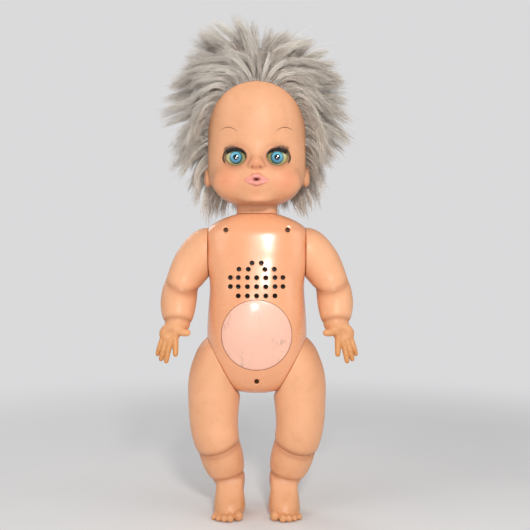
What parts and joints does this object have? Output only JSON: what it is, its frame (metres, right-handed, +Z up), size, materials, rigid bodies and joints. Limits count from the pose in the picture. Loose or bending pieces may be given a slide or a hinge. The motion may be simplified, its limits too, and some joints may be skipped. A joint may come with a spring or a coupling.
{
  "type": "interactive baby doll",
  "caption": "Standing baby doll with a hard voice-unit torso, pressable tummy disc, soft turning head and limbs, rolling sleep eyes and rooted silver-blonde hair.",
  "frame": {"origin": "middle of the doll's bounding box, on the floor under its feet", "axes": "+Z up along the doll, facing -Y, the doll's left side is +X"},
  "size_m": [0.2048, 0.1479, 0.4987],
  "materials": {
    "body_plastic": "glossy moulded flesh colour",
    "button_plastic": "glossy pale pink",
    "vinyl_head": "matte soft vinyl with painted brows and lips",
    "vinyl_limb": "satin soft vinyl",
    "hair_fibre": "rooted ash blonde nylon hair",
    "eye_white": "glossy, aged to yellow green",
    "eye_iris": "clear glossy blue insert",
    "eye_lid": "matte flesh colour",
    "lash_fibre": "black bristle",
    "lead": "dull grey",
    "steel": "bright",
    "dark_steel": "dark, slightly rusted",
    "magnet": "dark ferrite",
    "copper": "enamelled copper",
    "cone_paper": "black pressed paper",
    "board": "green solder mask",
    "black_plastic": "satin black",
    "ivory_plastic": "natural",
    "cell_wrap": "plain printed sleeve",
    "nickel": "nickel plate",
    "wire_red": "insulation",
    "wire_black": "insulation",
    "wire_white": "insulation"
  },
  "bodies": {
    "torso": {"torso_front": "body_plastic", "torso_back": "body_plastic", "body_screws": "dark_steel", "speaker_basket": "steel", "speaker_magnet": "magnet", "speaker_coil": "copper", "speaker_cone": "cone_paper", "speaker_dust_cap": "cone_paper", "speaker_clamp": "steel", "speaker_screws": "steel", "button_guide": "ivory_plastic", "guide_screws": "steel", "button_spring": "steel", "circuit_board": "board", "board_parts": "black_plastic", "key_switch": "black_plastic", "board_screws": "steel", "battery_box": "black_plastic", "battery_cells": "cell_wrap", "contact_springs": "nickel", "contact_plates": "nickel", "box_screws": "steel", "power_switch": "black_plastic", "speaker_wires": "wire_red", "battery_wires": "wire_black", "switch_wires": "wire_white"},
    "button": {"tummy_button": "button_plastic", "stem_clip": "dark_steel"},
    "switch_knob": {"switch_knob": "black_plastic"},
    "battery_door": {"battery_door": "body_plastic", "door_screw": "dark_steel"},
    "head": {"head_shell": "vinyl_head", "hair": "hair_fibre", "eye_cup_left": "ivory_plastic", "eye_cup_right": "ivory_plastic"},
    "eye_left": {"eyeball_left": "eye_white", "iris_left": "eye_iris", "eyelid_left": "eye_lid", "lashes_left": "lash_fibre", "eye_weight_left": "lead"},
    "eye_right": {"eyeball_right": "eye_white", "iris_right": "eye_iris", "eyelid_right": "eye_lid", "lashes_right": "lash_fibre", "eye_weight_right": "lead"},
    "arm_left": {"arm_left": "vinyl_limb"},
    "arm_right": {"arm_right": "vinyl_limb"},
    "leg_left": {"leg_left": "vinyl_limb"},
    "leg_right": {"leg_right": "vinyl_limb"}
  },
  "joints": [
    {"name": "button_press", "type": "slide", "parent": "torso", "child": "button", "axis": [0, 1, 0], "range_m": [0, 0.002], "stiffness_N_per_m": 1200, "deforming": ["button_spring"]},
    {"name": "power_slide", "type": "slide", "parent": "torso", "child": "switch_knob", "axis": [1, 0, 0], "range_m": [0, 0.005]},
    {"name": "door_lift_off", "type": "slide", "parent": "torso", "child": "battery_door", "axis": [0, 1, 0], "range_m": [0, 0.045]},
    {"name": "head_turn", "type": "hinge", "parent": "torso", "child": "head", "pos_m": [0, -0.018, 0.296], "axis": [0, 0, 1], "continuous": true},
    {"name": "eye_left_roll", "type": "hinge", "parent": "head", "child": "eye_left", "pos_m": [0.0195, -0.0505, 0.348], "axis": [1, 0, 0], "range_deg": [0, 60]},
    {"name": "eye_right_roll", "type": "hinge", "parent": "head", "child": "eye_right", "pos_m": [-0.0195, -0.0505, 0.348], "axis": [1, 0, 0], "range_deg": [0, 60]},
    {"name": "shoulder_left", "type": "hinge", "parent": "torso", "child": "arm_left", "pos_m": [0.048, -0.018, 0.262], "axis": [-1, 0, 0], "range_deg": [-60, 120]},
    {"name": "shoulder_right", "type": "hinge", "parent": "torso", "child": "arm_right", "pos_m": [-0.048, -0.018, 0.262], "axis": [-1, 0, 0], "range_deg": [-60, 120]},
    {"name": "hip_left", "type": "hinge", "parent": "torso", "child": "leg_left", "pos_m": [0.0336, -0.018, 0.1475], "axis": [-0.8829, 0, 0.4695], "range_deg": [-15, 86]},
    {"name": "hip_right", "type": "hinge", "parent": "torso", "child": "leg_right", "pos_m": [-0.0336, -0.018, 0.1475], "axis": [-0.8829, 0, -0.4695], "range_deg": [-15, 86]}
  ]
}
